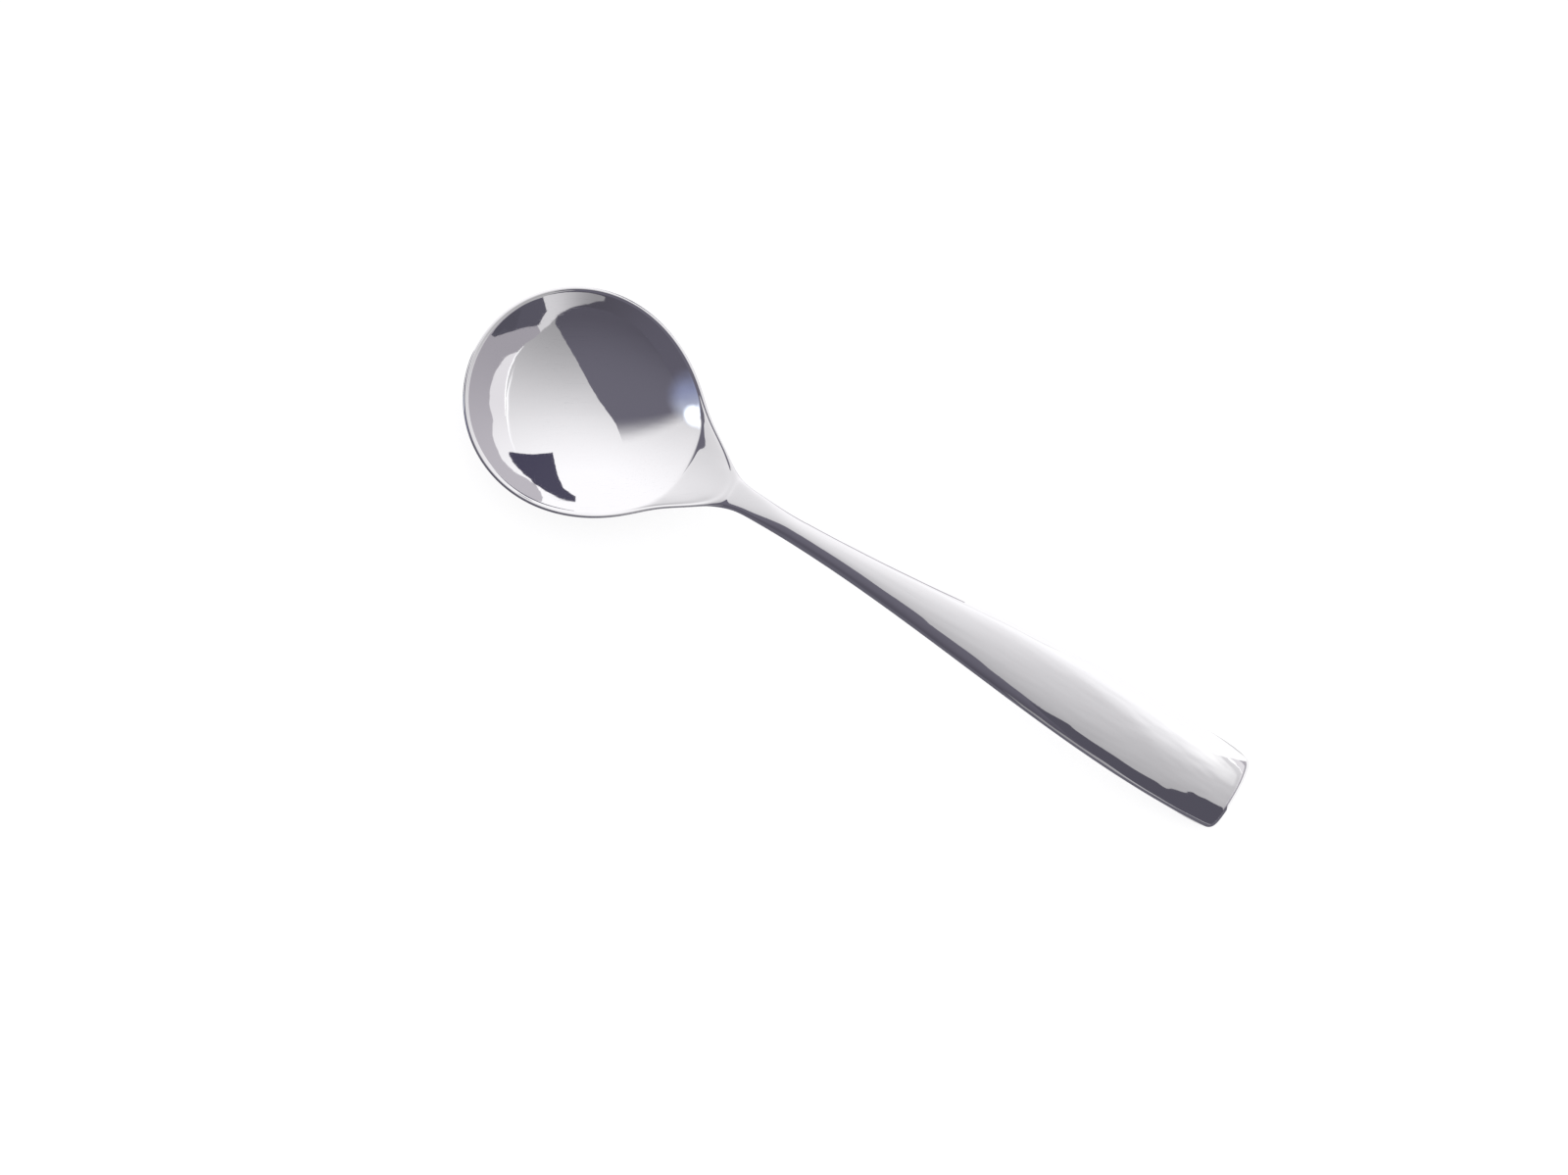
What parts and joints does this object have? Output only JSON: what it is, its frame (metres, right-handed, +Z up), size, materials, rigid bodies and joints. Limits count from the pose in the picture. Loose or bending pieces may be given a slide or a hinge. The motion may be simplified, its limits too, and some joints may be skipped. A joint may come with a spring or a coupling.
{
  "type": "soup spoon",
  "caption": "Mirror-polished steel soup spoon with a broad egg-shaped bowl, a slim rounded neck and a hollow handle that swells towards a blunt butt; it lies bowl-up on a table.",
  "frame": {"origin": "on the table, under the middle of the spoon's length and width", "axes": "+X from the bowl's tip to the butt, +Y across the bowl, +Z up from the table"},
  "size_m": [0.178, 0.045, 0.0167],
  "materials": {
    "polished_steel": "polished",
    "cement": "matte"
  },
  "bodies": {
    "root": {"bowl": "polished_steel", "handle_upper": "polished_steel", "handle_lower": "polished_steel", "seam_weld": "polished_steel", "neck_weld": "polished_steel", "handle_filler": "cement"}
  },
  "joints": []
}
